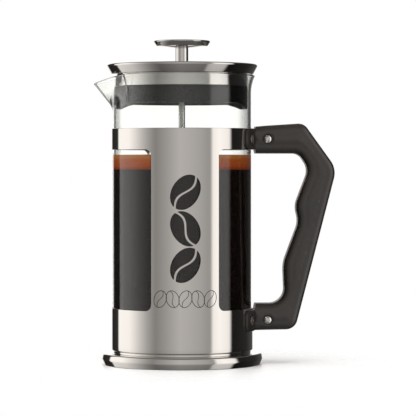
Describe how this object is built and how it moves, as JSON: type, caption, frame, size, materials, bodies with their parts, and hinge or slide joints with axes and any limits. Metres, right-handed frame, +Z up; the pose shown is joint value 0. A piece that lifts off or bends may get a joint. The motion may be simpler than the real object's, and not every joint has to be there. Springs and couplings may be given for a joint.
{
  "type": "french press",
  "caption": "Plunger coffee press: glass beaker with a pouring spout in a polished steel sleeve with side windows, a black side handle, a steel lid and a rod with a spring-edged filter.",
  "frame": {"origin": "on the beaker's axis, on the underside of the foot, where the press stands", "axes": "+Z up, along the plunger rod; +X towards the handle; -X towards the spout; -Y towards the decorated strip"},
  "size_m": [0.1717, 0.1146, 0.2294],
  "materials": {
    "mirror_steel": "mirror-polished stainless steel",
    "chromed_steel": "chrome-plated, polished",
    "spring_steel": "satin stainless steel",
    "steel_mesh": "fine woven stainless mesh",
    "zinc_steel": "zinc-plated steel",
    "handle_plastic": "fine satin, moulded",
    "insert_plastic": "smooth moulded",
    "borosilicate": "clear, fire-polished rim",
    "silicone": "soft, translucent",
    "pad_rubber": "fine matt"
  },
  "bodies": {
    "frame": {"base_foot": "mirror_steel", "base_pad": "pad_rubber", "glass_cushion": "silicone", "sleeve": "mirror_steel", "upper_bracket": "zinc_steel", "lower_bracket": "zinc_steel", "upper_shoe": "handle_plastic", "lower_shoe": "handle_plastic", "shoe_screws": "chromed_steel", "handle": "handle_plastic", "handle_screws": "chromed_steel", "handle_nuts": "chromed_steel"},
    "glass": {"glass_beaker": "borosilicate"},
    "lid_bush": {"guide_bush": "chromed_steel", "bush_nut": "zinc_steel"},
    "lid": {"lid_cap": "mirror_steel", "lid_band": "mirror_steel", "strainer_insert": "insert_plastic"},
    "plunger": {"plunger_rod": "spring_steel", "rod_collar": "spring_steel", "threaded_boss": "spring_steel", "cross_plate": "spring_steel", "mesh_screen": "steel_mesh", "edge_spring": "spring_steel", "top_plate": "spring_steel", "knob_stem": "chromed_steel", "knob_disc": "chromed_steel"}
  },
  "joints": [
    {"name": "glass_lift", "type": "slide", "parent": "frame", "child": "glass", "axis": [0, 0, 1], "range_m": [0, 0.165]},
    {"name": "lid_lift", "type": "slide", "parent": "glass", "child": "lid_bush", "axis": [0, 0, 1], "range_m": [0, 0.195]},
    {"name": "lid_turn", "type": "hinge", "parent": "lid_bush", "child": "lid", "pos_m": [0, 0, 0.208], "axis": [0, 0, 1], "continuous": true},
    {"name": "plunger_slide", "type": "slide", "parent": "lid_bush", "child": "plunger", "axis": [0, 0, 1], "range_m": [0, 0.148]}
  ]
}
